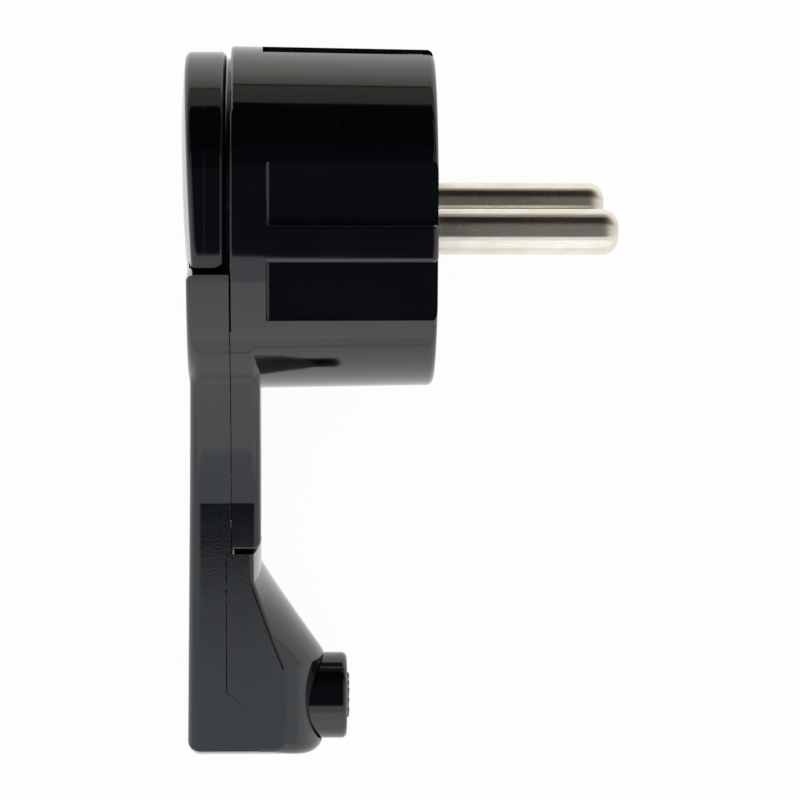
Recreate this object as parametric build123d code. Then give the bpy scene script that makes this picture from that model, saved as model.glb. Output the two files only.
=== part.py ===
"""Flat earthed mains plug with a fold-out pull handle and a push-button switch.

The plug is drawn in its own axes: X runs along the pins towards their tips, Y runs up the plug away
from the foot, and Z runs across it. The engagement face between the pins is X = 0. At the end the
whole plug is laid on its side, as it comes to rest on a table, with the origin under its middle.
"""
import os
from math import asin, atan2, degrees, hypot, sqrt

from build123d import *

# Pins
pin_diameter = 4.8
pin_spacing = 19.0
pin_reach = 19.0
pin_tip_round = 1.7
pin_root_diameter = 5.8
pin_hole_clearance = 0.1
pin_collar_diameter = 6.6
pin_collar_length = 1.5
terminal_width = 6.8
terminal_length = 8.0
wire_hole_diameter = 2.6

# Round body
barrel_length = 21.4
barrel_front_diameter = 35.7
barrel_draft = 0.35
barrel_edge_round = 0.7
barrel_root_round = 0.3
face_wall = 2.5
shell_wall = 1.5
side_rib_width = 3.9
side_flat_reach = 8.25
side_flat_spacing = 31.4
side_flat_length = 17.7
rib_edge_round = 0.55
panel_end_round = 0.45
clip_slot_width = 5.0
clip_slot_depth = 1.3
clip_slot_floor = 1.1
clip_slot_length = 18.1
earth_hole_offset = 10.0
earth_hole_diameter = 6.4
screw_post_diameter = 4.6
screw_post_inset = 1.7

# Arm and foot
arm_root_half_width = 11.2
arm_flare_depth = 0.64
arm_root_overlap = 0.1
arm_waist_half_width = 7.6
arm_waist_reach = 29.3
arm_waist_round = 6.0
foot_half_width = 7.4
foot_corner_reach = 57.0
foot_reach = 58.8
arm_front_thickness = 3.1
arm_front_reach = 34.6
arm_back_at_root = 25.7
arm_back_at_foot = 26.27
arm_edge_round = 0.9
arm_back_round = 1.4
arm_end_round = 0.3
foot_gap = 0.5
slope_lead = 6.4
slope_run = 9.6
foot_crest_depth = 9.8
foot_flank_depth = 4.7
foot_edge_round = 0.5
seam_turn_reach = 50.4
seam_end_reach = 53.2
seam_end_depth = 2.75
seam_setback = 0.55
seam_gap = 0.1
foot_toe_round = 1.6

# Rear cover and pull handle
cover_depth = 4.5
cover_top_reach = 3.15
boss_gap = 0.4
handle_inset = 0.6
handle_band_width = 5.3
handle_front_gap = 0.45
handle_edge_thickness = 4.3
handle_end_reach = 2.5
handle_front_corner_round = 1.4
handle_back_corner_round = 2.0
handle_crown_radius = 120.0
handle_crown_height = 0.65
handle_crown_centre = 5.5
handle_pivot_reach = 0.5
trunnion_diameter = 2.4
trunnion_length = 2.0
trunnion_clearance = 0.05
trunnion_end_gap = 0.2
rim_seal_thickness = 0.25
rim_seal_inset = 1.3
rim_seal_bottom = 4.0

# Push button and switch
button_diameter = 9.4
button_axis_reach = 52.8
button_proud = 2.6
button_length = 7.4
button_edge_round = 0.6
button_side_gap = 0.3
button_front_wall = 1.6
button_wall = 1.2
button_travel = 2.2
button_stop_gap = 0.3
ear_width = 4.6
ear_length = 1.4
ear_height = 1.0
ear_side_gap = 0.25
sleeve_wall = 1.2
sleeve_depth = 4.4
ring_thickness = 0.6
ring_wall = 0.9
ring_inset = 0.5
contact_gap = 0.05
contact_thickness = 0.35
contact_width = 1.3
base_thickness = 1.4
base_side_gap = 0.2
spring_wire_diameter = 0.55
spring_turns = 5
block_height = 2.6
block_depth = 2.2
block_width = 2.6
block_gap = 0.9

# Earth parts
strap_thickness = 0.8
strap_width = 4.2
strap_slot_margin = 0.7
clip_setback = 1.2
clip_depth_below_face = 0.45
tube_outer_diameter = 5.8
tube_bore_diameter = 4.9
tube_setback = 0.6
tube_slot_width = 0.8
tube_slot_length = 9.0

# Fasteners, cord clamp and leads
housing_screw_diameter = 2.0
housing_head_diameter = 3.0
housing_head_height = 1.3
arm_screw_reach = 27.0
small_screw_diameter = 1.2
small_head_diameter = 2.0
small_head_height = 0.8
recess_width = 0.5
recess_depth_share = 0.5
clamp_gap = 2.6
clamp_height = 2.8
clamp_thickness = 1.0
clamp_post_spacing = 7.0
clamp_post_diameter = 2.0
clamp_post_setback = 0.5
inlet_depth = 4.2
inlet_width = 6.4
carrier_thickness = 2.0
carrier_gap = 0.15
lead_diameter = 1.1
lead_gap = 0.15
screw_fit = 0.05

# Places worked out from the sizes above
part_x = -barrel_length
pin_radius = pin_diameter / 2
pin_z = pin_spacing / 2
front_radius = barrel_front_diameter / 2
root_radius = front_radius + barrel_draft
arm_root_reach = sqrt(root_radius**2 - arm_root_half_width**2) - arm_root_overlap
flat_z = side_flat_spacing / 2
cavity_radius = front_radius - clip_slot_depth - clip_slot_floor
cavity_half_width = flat_z - shell_wall
arm_front_x = part_x + arm_front_thickness
crest_x = part_x + foot_crest_depth
flank_x = part_x + foot_flank_depth
cover_back_x = part_x - cover_depth
screw_post_offset = (cavity_radius - screw_post_inset) / sqrt(2)
handle_outer_radius = root_radius - handle_inset
boss_radius = handle_outer_radius - handle_band_width - boss_gap
handle_front_x = part_x - handle_front_gap
handle_back_x = handle_front_x - handle_edge_thickness
pivot_x = (handle_front_x + handle_back_x) / 2
button_radius = button_diameter / 2
button_front_x = crest_x + button_proud
button_rear_x = button_front_x - button_length
ring_rear_x = button_rear_x - ring_thickness
contact_front_x = ring_rear_x - button_travel - contact_gap
base_front_x = contact_front_x - contact_thickness
base_rear_x = base_front_x - base_thickness
sleeve_rear_x = crest_x - sleeve_depth - button_proud / 2
bore_radius = button_radius + button_side_gap
ring_outer_radius = button_radius - ring_inset
ring_radius = ring_outer_radius - ring_wall / 2
base_top_reach = button_axis_reach - button_radius - block_height - block_gap
clamp_reach = base_top_reach - clamp_height / 2 - clamp_gap
slope_start_reach = base_top_reach - slope_lead
slope_end_reach = slope_start_reach + slope_run
terminal_front_x = -face_wall - pin_collar_length
terminal_rear_x = terminal_front_x - terminal_length
wire_hole_x = terminal_rear_x + wire_hole_diameter
carrier_rear_x = terminal_front_x - carrier_thickness
strap_front_x = -clip_slot_length + strap_slot_margin + strap_thickness
strap_rear_x = strap_front_x - strap_thickness
clamp_rear_x = part_x - clamp_post_setback
far_out = 4 * barrel_length


def between(x, y, z):
    """Box that spans three (low, high) pairs."""
    sizes = [high - low for low, high in (x, y, z)]
    middle = [(high + low) / 2 for low, high in (x, y, z)]
    return Pos(*middle) * Box(*sizes)


def rod(radius, x_low, x_high, y=0.0, z=0.0):
    """Cylinder along X."""
    return Pos((x_low + x_high) / 2, y, z) * Rot(0, 90, 0) * Cylinder(radius, x_high - x_low)


def cross_rod(radius, x, y, z_low, z_high):
    """Cylinder along Z."""
    return Pos(x, y, (z_low + z_high) / 2) * Cylinder(radius, z_high - z_low)


def upright_rod(radius, y_low, y_high, x, z):
    """Cylinder along Y."""
    return Pos(x, (y_low + y_high) / 2, z) * Rot(90, 0, 0) * Cylinder(radius, y_high - y_low)


def face_prism(outline, x_low, x_high):
    """Prism along X from an outline drawn with Y and Z as its two axes."""
    return extrude(Plane.YZ.offset(x_low) * outline, amount=x_high - x_low)


def side_prism(points, half_width):
    """Prism across the plug from a side profile drawn in X and Y."""
    return extrude(make_face(Polyline(*points, close=True)), amount=half_width, both=True)


def arm_half_width(reach, inset=0.0):
    """Half of the arm's width at a distance below the pin axis: it narrows to a waist, then runs nearly straight."""
    if reach < arm_waist_reach:
        slope = (arm_root_half_width - arm_waist_half_width) / (arm_waist_reach - arm_root_reach)
    else:
        slope = (arm_waist_half_width - foot_half_width) / (foot_corner_reach - arm_waist_reach)
    return arm_waist_half_width + slope * (arm_waist_reach - reach) - inset


def arm_outline(top_reach, inset=0.0):
    """Front view of arm and foot: flanks that taper to a waist and end in a shallow arc."""
    root = arm_half_width(arm_root_reach, inset)
    waist = arm_half_width(arm_waist_reach, inset)
    flare = (root + waist) / 2 - arm_flare_depth
    flare_y = -(arm_root_reach + arm_waist_reach) / 2
    corner = arm_half_width(foot_corner_reach, inset)
    corner_y = -foot_corner_reach + inset
    sides = []
    for side in (-1, 1):
        curve = ThreePointArc((-arm_root_reach, side * root), (flare_y, side * flare), (-arm_waist_reach, side * waist))
        sides += [curve, Line((-arm_waist_reach, side * waist), (corner_y, side * corner))]
    end = ThreePointArc((corner_y, -corner), (-foot_reach + inset, 0), (corner_y, corner))
    top_line = Line((-top_reach, -root), (-top_reach, root))
    if top_reach < arm_root_reach:
        sides += [Line((-arm_root_reach, side * root), (-top_reach, side * root)) for side in (-1, 1)]
    outline = make_face([*sides, end, top_line])
    waist_corners = outline.vertices().filter_by(lambda vertex: abs(vertex.X + arm_waist_reach) < seam_gap)
    return fillet(waist_corners, arm_waist_round)


def foot_section(reach, crest, flank):
    """Level cut through the foot: straight back and flanks, round front."""
    half = foot_half_width + foot_edge_round
    front = ThreePointArc((flank, -half), (crest, 0), (flank, half))
    back = part_x - far_out / 2
    rest = Polyline(front @ 1, (back, half), (back, -half), front @ 0)
    return Plane.XZ.offset(reach) * make_face([front, rest])


def foot_body(inset=0.0):
    """Arm and foot behind and in front of the seam, with every outer wall moved inwards by the inset."""
    top_front = arm_front_x - inset
    sections = [
        foot_section(arm_front_reach + foot_gap + inset, top_front, top_front - arm_edge_round),
        foot_section(slope_start_reach + inset, top_front, top_front - arm_edge_round),
        foot_section(slope_end_reach + inset, crest_x - inset, flank_x - inset),
        foot_section(foot_reach + shell_wall, crest_x - inset, flank_x - inset),
    ]
    return loft(sections, ruled=True) & face_prism(arm_outline(arm_root_reach, inset), -far_out, far_out)


def arm_back(inset=0.0):
    """Room between the parting plane and the slanted back of the arm."""
    profile = [
        (part_x, 0),
        (part_x, -foot_reach - shell_wall),
        (-arm_back_at_foot + inset, -foot_reach - shell_wall),
        (-arm_back_at_root + inset, -arm_root_reach),
        (-arm_back_at_root + inset, 0),
    ]
    return side_prism(profile, far_out)


def behind_seam(gap=0.0):
    """Side of the seam that belongs to the rear housing. In the foot the seam steps back, and its gap runs out."""
    step_reach = arm_front_reach + foot_gap - gap
    turn = part_x - seam_setback - gap
    end = part_x + seam_end_depth
    profile = [
        (part_x - gap, 0),
        (part_x - gap, -step_reach),
        (turn, -step_reach),
        (turn, -seam_turn_reach),
        (end, -seam_end_reach),
        (end, -foot_reach - shell_wall),
        (-far_out, -foot_reach - shell_wall),
        (-far_out, 0),
    ]
    return side_prism(profile, far_out)


def boss_outline(inset=0.0):
    """Rear view of the boss that fills the handle: half a disc on a straight stem."""
    radius = boss_radius - inset
    arch = CenterArc((0, 0), radius, -90, 180)
    stem_end = -cover_top_reach - shell_wall
    stem = Polyline(arch @ 1, (stem_end, radius), (stem_end, -radius), arch @ 0)
    return make_face([arch, stem])


def crown(height):
    """Large ball whose rear side crowns the handle and the boss alike."""
    top_x = handle_back_x - height
    return Pos(top_x + handle_crown_radius, handle_crown_centre, 0) * Sphere(handle_crown_radius)


def screw(radius, head_radius, head_height, x_head, x_tip, y, z):
    """Slotted pan-head screw along X, with its head on the rear side."""
    head = rod(head_radius, x_head - head_height, x_head, y, z)
    rim = head.edges().filter_by(GeomType.CIRCLE).sort_by(Axis.X)[0]
    head = fillet(rim, head_height / 3)
    low_x = x_head - head_height
    slot = between((low_x, low_x + head_height * recess_depth_share), (y - head_radius, y + head_radius),
                   (z - recess_width / 2, z + recess_width / 2))
    return head - slot + rod(radius, x_head, x_tip, y, z)


def front_screw(radius, head_radius, head_height, x_head, x_tip, y, z):
    """The same screw with its head on the front side."""
    turned = screw(radius, head_radius, head_height, 0, x_head - x_tip, 0, 0)
    return Pos(x_head, y, z) * Rot(0, 180, 0) * turned


def pin(side):
    """Turned contact pin with a collar behind the face and a square terminal head."""
    shank = rod(pin_radius, 0, pin_reach, 0, side * pin_z)
    tip = shank.edges().filter_by(GeomType.CIRCLE).sort_by(Axis.X)[-1]
    shank = fillet(tip, pin_tip_round)
    root = rod(pin_root_diameter / 2, -face_wall, 0, 0, side * pin_z)
    collar = rod(pin_collar_diameter / 2, terminal_front_x, -face_wall, 0, side * pin_z)
    half = terminal_width / 2
    head = between((terminal_rear_x, terminal_front_x), (-half, half),
                   (side * pin_z - half, side * pin_z + half))
    wire_hole = upright_rod(wire_hole_diameter / 2, -half, half, wire_hole_x, side * pin_z)
    screw_hole = rod(small_screw_diameter / 2 + screw_fit, terminal_rear_x, wire_hole_x, 0, side * pin_z)
    return shank + root + collar + head - wire_hole - screw_hole


def cavity():
    """Hollow of the round body, open at the parting plane."""
    bore = rod(cavity_radius, part_x, -face_wall)
    half = cavity_half_width
    return bore & between((-far_out, far_out), (-far_out, far_out), (-half, half))


def post_places():
    """Centres of the two screw posts in the round body."""
    return [(screw_post_offset, side * screw_post_offset) for side in (-1, 1)]


def front_housing():
    """Round body with its engagement face, side ribs and clip slots, and the front half of the arm."""
    outline = Polyline((part_x, 0), (part_x, root_radius), (0, front_radius), (0, 0), close=True)
    barrel = revolve(make_face(outline), Axis.X)
    face_edge = barrel.edges().filter_by(GeomType.CIRCLE).sort_by(Axis.X)[-1]
    barrel = fillet(face_edge, barrel_edge_round)
    root_edge = barrel.edges().filter_by(GeomType.CIRCLE).sort_by(Axis.X)[0]
    barrel = fillet(root_edge, barrel_root_round)

    # Two flats on each side leave a narrow rib in line with the pins
    rib = side_rib_width / 2
    for side in (-1, 1):
        for level in (-1, 1):
            cut = between((-side_flat_length, pin_reach), sorted((level * rib, level * side_flat_reach)),
                          sorted((side * flat_z, side * far_out)))
            panel_end = cut.edges().filter_by(Axis.Y).sort_by(Axis.X)[:2].sort_by(lambda edge: abs(edge.center().Z))[0]
            barrel -= fillet(panel_end, panel_end_round)
    rib_edges = barrel.edges().filter_by(
        lambda edge: abs(abs(edge.center().Y) - rib) < rib_edge_round / 2
        and abs(edge.center().Z) > (flat_z + front_radius) / 2
        and edge.length > side_flat_length / 2
    )
    barrel = fillet(rib_edges, rib_edge_round)

    # The arm's front half grows out of the round body
    arm_room = between((part_x, arm_front_x), (-arm_front_reach, 0), (-far_out, far_out))
    arm = face_prism(arm_outline(arm_root_reach / 2), part_x, arm_front_x) & arm_room
    end_edges = arm.edges().filter_by(Axis.X).sort_by(Axis.Y)[:2]
    arm = fillet(end_edges, arm_end_round)
    front_edges = arm.edges().filter_by(
        lambda edge: abs(edge.center().X - arm_front_x) < seam_gap and edge.center().Y < -arm_root_reach / 2
    )
    arm = fillet(front_edges, arm_edge_round)
    arm_hollow = face_prism(arm_outline(arm_root_reach / 2, shell_wall), part_x, arm_front_x - shell_wall)
    arm_hollow &= arm_room
    body = barrel + arm - arm_hollow - cavity()

    # Clip slots along the top and the bottom, each with a window for the earth strap
    half = clip_slot_width / 2
    for level in (-1, 1):
        floor_y = front_radius - clip_slot_depth
        body -= between((-clip_slot_length, pin_reach), sorted((level * floor_y, level * far_out)), (-half, half))
        window = sorted((level * cavity_radius / 2, level * far_out))
        body -= between((-clip_slot_length, strap_front_x + strap_thickness), window, (-half, half))

    # Posts for the housing screws, then the holes in the face
    for y, z in post_places():
        body += rod(screw_post_diameter / 2, part_x + shell_wall, -face_wall, y, z)
        body -= rod(housing_screw_diameter / 2 + screw_fit, part_x + shell_wall, -barrel_length / 2, y, z)
    for side in (-1, 1):
        body -= rod(pin_root_diameter / 2 + pin_hole_clearance, -face_wall, pin_reach, 0, side * pin_z)
    body -= rod(earth_hole_diameter / 2, -face_wall, pin_reach, earth_hole_offset)

    # Screw hole with a sunk seat in the arm's front face
    seat_x = arm_front_x - housing_head_height
    body += rod(housing_head_diameter / 2 + shell_wall, part_x, seat_x, -arm_screw_reach)
    body -= rod(housing_screw_diameter / 2 + screw_fit, part_x, arm_front_x, -arm_screw_reach)
    return body - rod(housing_head_diameter / 2 + screw_fit, seat_x, arm_front_x, -arm_screw_reach)


def rear_housing():
    """Rear cover with the boss inside the handle, the back of the arm and the back of the foot."""
    shell_x = part_x - seam_gap
    disc = rod(root_radius, cover_back_x, shell_x)
    disc = fillet(disc.edges().filter_by(GeomType.CIRCLE).sort_by(Axis.X)[0], arm_edge_round)
    below = between((cover_back_x, far_out), (-far_out, -cover_top_reach), (-far_out, far_out))
    top_edge = below.edges().filter_by(Axis.Z).sort_by(Axis.X)[:2].sort_by(Axis.Y)[-1]
    disc &= fillet(top_edge, arm_edge_round)

    arm = face_prism(arm_outline(arm_root_reach), -far_out, shell_x) & arm_back()
    back_edges = arm.edges().filter_by(
        lambda edge: edge.center().X < -arm_back_at_root + arm_edge_round / 2
        and edge.center().Y < -arm_root_reach - seam_gap
    )
    arm = fillet(back_edges, arm_back_round) & behind_seam(seam_gap)
    toe = foot_body() & behind_seam(seam_gap) & between((shell_x, far_out), (-far_out, 0), (-far_out, far_out))

    boss = face_prism(boss_outline(), handle_back_x - 2 * handle_crown_height, part_x)
    boss &= crown(handle_crown_height - boss_gap / 2)
    plate = rod(cavity_radius - carrier_gap, shell_x, part_x + shell_wall)
    half = cavity_half_width - carrier_gap
    plate &= between((-far_out, far_out), (-cover_top_reach - shell_wall, far_out), (-half, half))

    # Thin rim that closes the view between the round body and the handle
    rim = rod(root_radius - rim_seal_inset, shell_x - rim_seal_thickness, shell_x)
    rim &= between((-far_out, far_out), (rim_seal_bottom, far_out), (-far_out, far_out))
    body = disc + arm + toe + boss + plate + rim

    # Hollows behind the walls, open towards the front
    hollow_back_x = cover_back_x + shell_wall
    cover_room = rod(root_radius - shell_wall, hollow_back_x, part_x)
    cover_room &= between((-far_out, far_out), (-far_out, -cover_top_reach - shell_wall), (-far_out, far_out))
    arm_room = face_prism(arm_outline(arm_root_reach / 2, shell_wall), -far_out, part_x) & arm_back(shell_wall)
    foot_front = between((part_x - shell_wall, far_out), (-far_out, 0), (-far_out, far_out))
    foot_room = foot_body(shell_wall) & foot_front
    boss_room = face_prism(boss_outline(shell_wall), hollow_back_x, part_x + shell_wall)
    posts = [rod(housing_head_diameter / 2 + shell_wall / 2, -far_out, shell_x, -arm_screw_reach)]
    clamp_places = [side * clamp_post_spacing / 2 for side in (-1, 1)]
    posts += [rod(clamp_post_diameter / 2, -far_out, clamp_rear_x, -clamp_reach, z) for z in clamp_places]
    for post in posts:
        arm_room -= post
        foot_room -= post
    body = body - cover_room - arm_room - foot_room - boss_room

    # Trunnions that carry the handle
    for side in (-1, 1):
        span = sorted((side * (boss_radius - shell_wall), side * (boss_radius + trunnion_length)))
        body += cross_rod(trunnion_diameter / 2, pivot_x, -handle_pivot_reach, *span)

    # Holes for the screws, with sunk seats in the thin rim
    for y, z in post_places():
        body -= rod(housing_screw_diameter / 2 + screw_fit, shell_x, part_x + shell_wall, y, z)
        body -= rod(housing_head_diameter / 2 + screw_fit, handle_front_x, part_x, y, z)
    body -= rod(housing_screw_diameter / 2 + screw_fit, -arm_back_at_root + shell_wall, shell_x, -arm_screw_reach)
    for z in clamp_places:
        body -= rod(small_screw_diameter / 2 + screw_fit, -arm_back_at_root + shell_wall, clamp_rear_x,
                    -clamp_reach, z)

    # Flat inlet for the cord in the end of the foot
    inlet_front_x = base_rear_x - contact_thickness
    half_inlet = inlet_width / 2
    inlet = between((inlet_front_x - inlet_depth, inlet_front_x), (-far_out, -button_axis_reach),
                    (-half_inlet, half_inlet))
    return body - inlet


def switch_cover():
    """Front of the foot, with the sleeve that guides the push button."""
    outer = foot_body() - behind_seam()
    toe = outer.edges().filter_by(
        lambda edge: edge.center().Y < -foot_corner_reach and edge.center().X > flank_x
    )
    outer = fillet(toe, foot_toe_round)
    flank_edges = outer.edges().filter_by(
        lambda edge: edge.geom_type != GeomType.LINE and abs(edge.center().Z) > foot_half_width - arm_edge_round
    )
    outer = fillet(flank_edges, foot_edge_round)
    room = foot_body(shell_wall)
    sleeve = rod(bore_radius + sleeve_wall, sleeve_rear_x, crest_x, -button_axis_reach) & outer
    body = outer - room + sleeve
    body -= rod(bore_radius, sleeve_rear_x - shell_wall, far_out, -button_axis_reach)

    # Keyways for the button's two ears, closed at the front
    keyway_half = ear_width / 2 + ear_side_gap
    keyway_top = button_radius + ear_height + ear_side_gap
    keyway_front_x = button_rear_x + ear_length + button_stop_gap
    return body - between((sleeve_rear_x - shell_wall, keyway_front_x),
                          (-button_axis_reach - keyway_half, -button_axis_reach + keyway_half),
                          (-keyway_top, keyway_top))


def pull_handle():
    """Bow-shaped handle that lies round the boss and swings out on its trunnions."""
    back_x = handle_back_x - handle_crown_height
    disc = rod(handle_outer_radius, back_x, handle_front_x) & crown(handle_crown_height)
    rim = disc.edges().filter_by(lambda edge: edge.length > 2 * handle_outer_radius)
    disc = fillet(rim, barrel_edge_round)

    # Rounded leg ends leave room for the swing past the cover and the round body
    top_y = 2 * handle_outer_radius
    corners = [(handle_front_x, -handle_end_reach), (handle_front_x, top_y), (back_x, top_y)]
    profile = make_face(Polyline(*corners, (back_x, -handle_end_reach), close=True))
    front_corner = profile.vertices().sort_by(Axis.Y)[:2].sort_by(Axis.X)[-1]
    profile = fillet(front_corner, handle_front_corner_round)
    back_corner = profile.vertices().sort_by(Axis.X)[:2].sort_by(Axis.Y)[0]
    profile = fillet(back_corner, handle_back_corner_round)
    ring = disc & extrude(profile, amount=far_out, both=True)
    inner = boss_radius + boss_gap
    opening = rod(inner, -far_out, 0)
    opening += between((-far_out, 0), (-handle_outer_radius, 0), (-inner, inner))
    ring -= opening
    reach = boss_radius + trunnion_length + trunnion_end_gap
    return ring - cross_rod(trunnion_diameter / 2 + trunnion_clearance, pivot_x, -handle_pivot_reach, -reach, reach)


def push_button():
    """Cap of the switch: a cup with two ears that keep it in its sleeve."""
    cap = rod(button_radius, button_rear_x, button_front_x, -button_axis_reach)
    rim = cap.edges().filter_by(GeomType.CIRCLE).sort_by(Axis.X)[-1]
    cap = fillet(rim, button_edge_round)
    reach = button_radius + ear_height
    half = ear_width / 2
    cap += between((button_rear_x, button_rear_x + ear_length),
                   (-button_axis_reach - half, -button_axis_reach + half), (-reach, reach))
    return cap - rod(button_radius - button_wall, button_rear_x, button_front_x - button_front_wall,
                     -button_axis_reach)


def button_spring():
    """Return spring between the button's inner face and the switch base."""
    wire = spring_wire_diameter / 2
    coil_radius = ring_outer_radius - ring_wall - 2 * wire
    start_x = base_front_x + wire
    length = button_front_x - button_front_wall - base_front_x - 2 * wire
    coil = Helix(length / spring_turns, length, coil_radius, center=(0, 0, 0), direction=(0, 0, 1))
    section = Plane(coil @ 0, z_dir=coil % 0) * Circle(wire)
    turns = sweep(section, path=coil, is_frenet=True)
    return Pos(start_x, -button_axis_reach, 0) * Rot(0, 90, 0) * turns


def contact_bridge():
    """Brass ring on the button's rear end that joins the two fixed contacts."""
    ring = rod(ring_outer_radius, ring_rear_x, button_rear_x, -button_axis_reach)
    return ring - rod(ring_outer_radius - ring_wall, ring_rear_x, button_rear_x, -button_axis_reach)


def switch_base():
    """Insulating plate that carries the fixed contacts and the spring."""
    room = foot_body(shell_wall + base_side_gap)
    plate = between((base_rear_x, base_front_x), (-far_out, -base_top_reach), (-far_out, far_out))
    return room & plate


def fixed_contact(side):
    """Contact strip on the switch base, ending in a terminal block above the sleeve."""
    z = side * ring_radius
    block_low = -base_top_reach - block_height
    strip = between((base_front_x, contact_front_x), (-button_axis_reach, block_low),
                    (z - contact_width / 2, z + contact_width / 2))
    block_z = side * (ring_radius - (block_width - contact_width) / 2)
    block = between((base_front_x, base_front_x + block_depth), (block_low, -base_top_reach),
                    (block_z - block_width / 2, block_z + block_width / 2))
    hole_x = base_front_x + block_depth / 2
    hole_radius = lead_diameter / 2 + lead_gap
    return strip + block - upright_rod(hole_radius, block_low, -base_top_reach, hole_x, block_z)


def earth_strap():
    """Bent earth strap: a bar across the cavity and a clip along the top and the bottom of the body."""
    half = strap_width / 2
    clip_outer = front_radius - clip_depth_below_face
    clip_inner = clip_outer - strap_thickness
    strap = between((strap_rear_x, strap_front_x), (-clip_outer, clip_outer), (-half, half))
    for level in (-1, 1):
        strap += between((strap_rear_x, -clip_setback), sorted((level * clip_inner, level * clip_outer)),
                         (-half, half))
    return strap - rod(small_screw_diameter / 2 + screw_fit, strap_rear_x, strap_front_x)


def earth_tube():
    """Split sleeve behind the face that takes the earth pin of a socket."""
    tube = rod(tube_outer_diameter / 2, strap_front_x, -tube_setback, earth_hole_offset)
    tube -= rod(tube_bore_diameter / 2, strap_front_x + strap_thickness, -tube_setback, earth_hole_offset)
    half = tube_slot_width / 2
    radius = tube_outer_diameter / 2
    slot_x = (-tube_setback - tube_slot_length, -tube_setback)
    return tube - between(slot_x, (earth_hole_offset - radius, earth_hole_offset + radius), (-half, half))


def pin_carrier():
    """Insulating plate behind the collars that holds the pins and the earth tube in place."""
    plate = rod(cavity_radius - carrier_gap, carrier_rear_x, terminal_front_x)
    half = cavity_half_width - carrier_gap
    plate &= between((-far_out, far_out), (-far_out, far_out), (-half, half))
    hole = terminal_width / 2 + carrier_gap
    for side in (-1, 1):
        plate -= between((-far_out, 0), (-hole, hole), (side * pin_z - hole, side * pin_z + hole))
    for y, z in post_places():
        plate -= rod(screw_post_diameter / 2 + carrier_gap, -far_out, 0, y, z)
    return plate - rod(tube_outer_diameter / 2 + carrier_gap, -far_out, 0, earth_hole_offset)


def terminal_screws():
    """Clamp screws of the two pins and of the earth strap."""
    size = (small_screw_diameter / 2, small_head_diameter / 2, small_head_height)
    wire_side_x = wire_hole_x - lead_diameter / 2 - screw_fit
    screws = [screw(*size, terminal_rear_x, wire_side_x, 0, side * pin_z) for side in (-1, 1)]
    screws.append(screw(*size, strap_rear_x, strap_front_x + strap_thickness, 0, 0))
    return screws


def housing_screws():
    """Two screws into the posts of the round body and one into the arm."""
    size = (housing_screw_diameter / 2, housing_head_diameter / 2, housing_head_height)
    tip_x = -barrel_length / 2 - shell_wall
    screws = [screw(housing_screw_diameter / 2, housing_head_diameter / 2, handle_front_gap - 2 * screw_fit,
                    part_x, tip_x, y, z) for y, z in post_places()]
    head_x = arm_front_x - housing_head_height
    screws.append(front_screw(*size, head_x, -arm_back_at_root + 2 * shell_wall, -arm_screw_reach, 0))
    return screws


def cord_clamp():
    """Bar that presses the cord against the back of the foot."""
    half = clamp_post_spacing / 2 + clamp_post_diameter / 2
    bar_x = (clamp_rear_x, clamp_rear_x + clamp_thickness)
    bar = between(bar_x, (-clamp_reach - clamp_height / 2, -clamp_reach + clamp_height / 2), (-half, half))
    for side in (-1, 1):
        bar -= rod(small_screw_diameter / 2 + screw_fit, *bar_x, -clamp_reach, side * clamp_post_spacing / 2)
    return bar


def clamp_screws():
    """The two screws of the cord clamp."""
    size = (small_screw_diameter / 2, small_head_diameter / 2, small_head_height)
    head_x = clamp_rear_x + clamp_thickness
    tip_x = -arm_back_at_root + shell_wall + screw_fit
    return [front_screw(*size, head_x, tip_x, -clamp_reach, side * clamp_post_spacing / 2) for side in (-1, 1)]


def switched_lead():
    """Inner lead from the switch's load contact up the arm to the live pin."""
    start_z = ring_radius - (block_width - contact_width) / 2
    start_x = base_front_x + block_depth / 2
    arm_x = part_x - seam_setback - seam_gap - lead_diameter / 2 - lead_gap
    bend_reach = clamp_reach + clamp_height / 2 + lead_diameter
    beside_wall = shell_wall + lead_gap + lead_diameter / 2
    bar_z = arm_half_width(clamp_reach, beside_wall)
    below_head = terminal_width / 2 + 2 * lead_diameter
    route = [
        (start_x, -base_top_reach - block_height / 2, start_z),
        (start_x, -base_top_reach + lead_diameter / 2, start_z),
        (arm_x, -bend_reach, bar_z),
        (arm_x, -arm_root_reach, bar_z),
        (part_x + shell_wall, -below_head, pin_z),
        (wire_hole_x, -below_head, pin_z),
        (wire_hole_x, 0, pin_z),
    ]
    path = FilletPolyline(*route, radius=lead_diameter)
    section = Plane(path @ 0, z_dir=path % 0) * Circle(lead_diameter / 2 - screw_fit)
    return sweep(section, path=path)


def rest_tilt():
    """Angle by which the plug leans when it lies on the round body's flank and the foot's corner."""
    flank = (foot_half_width, foot_corner_reach)
    return degrees(asin(root_radius / hypot(*flank)) - atan2(*flank))


nodes = {
    "front_housing": front_housing(),
    "rear_housing": rear_housing(),
    "switch_cover": switch_cover(),
    "pull_handle": pull_handle(),
    "push_button": push_button(),
    "button_spring": button_spring(),
    "contact_bridge": contact_bridge(),
    "switch_base": switch_base(),
    "line_contact": fixed_contact(-1),
    "load_contact": fixed_contact(1),
    "live_pin": pin(1),
    "neutral_pin": pin(-1),
    "pin_carrier": pin_carrier(),
    "earth_strap": earth_strap(),
    "earth_tube": earth_tube(),
    "terminal_screws": terminal_screws(),
    "housing_screws": housing_screws(),
    "cord_clamp": cord_clamp(),
    "clamp_screws": clamp_screws(),
    "switched_lead": switched_lead(),
}

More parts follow.
